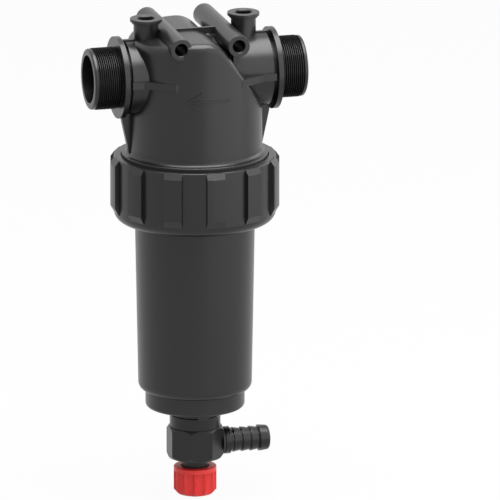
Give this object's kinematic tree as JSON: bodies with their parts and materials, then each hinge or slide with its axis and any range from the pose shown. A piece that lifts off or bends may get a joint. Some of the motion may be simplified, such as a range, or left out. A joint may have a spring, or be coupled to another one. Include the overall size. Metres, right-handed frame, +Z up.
{
  "type": "self cleaning filter",
  "caption": "In-line water filter with threaded ports, ring nut, removable bowl and mesh cartridge, flow cone, and a drain valve with hose tail and knob.",
  "frame": {"origin": "under the stem cap's foot, on the bowl axis", "axes": "+Z up along the bowl axis; +X from the outlet to the inlet port; -Y the front with the flow arrow"},
  "size_m": [0.169, 0.1314, 0.3818],
  "materials": {
    "black_housing": "satin moulded, glass filled polypropylene",
    "black_nut": "satin moulded, glass filled polyamide",
    "black_fitting": "satin moulded",
    "red_plastic": "satin moulded",
    "cartridge_plastic": "satin moulded",
    "pale_plastic": "satin moulded acetal",
    "steel_mesh": "woven stainless wire",
    "rubber": "smooth moulded nitrile"
  },
  "bodies": {
    "head": {"head": "black_housing"},
    "cartridge": {"cartridge_top_cap": "cartridge_plastic", "cartridge_top_gasket": "rubber", "cartridge_cage": "cartridge_plastic", "cartridge_mesh": "steel_mesh", "cartridge_bottom_cap": "cartridge_plastic", "cartridge_bottom_seal": "rubber", "flow_cone": "pale_plastic", "cone_spider": "pale_plastic"},
    "bowl": {"bowl": "black_housing", "bowl_seal": "rubber", "drain_body": "black_fitting", "drain_washer": "rubber", "hose_tail": "black_fitting", "hose_tail_washer": "rubber"},
    "ring_nut": {"ring_nut": "black_nut"},
    "plunger": {"valve_plunger": "pale_plastic", "plunger_washer": "rubber", "stem_seal_upper": "rubber", "stem_seal_lower": "rubber", "stem_cap": "red_plastic"},
    "drain_knob": {"drain_knob": "red_plastic"}
  },
  "joints": [
    {"name": "cartridge_pull_off", "type": "slide", "parent": "head", "child": "cartridge", "axis": [0, 0, -1], "range_m": [0, 0.08]},
    {"name": "bowl_travel", "type": "slide", "parent": "cartridge", "child": "bowl", "axis": [0, 0, -1], "range_m": [0, 0.018]},
    {"name": "ring_nut_turn", "type": "hinge", "parent": "bowl", "child": "ring_nut", "pos_m": [0, 0, 0.2464], "axis": [0, 0, -1], "range_deg": [0, 1080]},
    {"name": "drain_valve_travel", "type": "slide", "parent": "bowl", "child": "plunger", "axis": [0, 0, -1], "range_m": [0, 0.007]},
    {"name": "drain_knob_turn", "type": "hinge", "parent": "plunger", "child": "drain_knob", "pos_m": [0, 0, 0.0144], "axis": [0, 0, -1], "range_deg": [0, 720]}
  ],
  "couplings": [
    {"joint": "bowl_travel", "follows": "ring_nut_turn", "m_per_rad": 0.00095492},
    {"joint": "drain_valve_travel", "follows": "drain_knob_turn", "m_per_rad": 0.00055704}
  ]
}
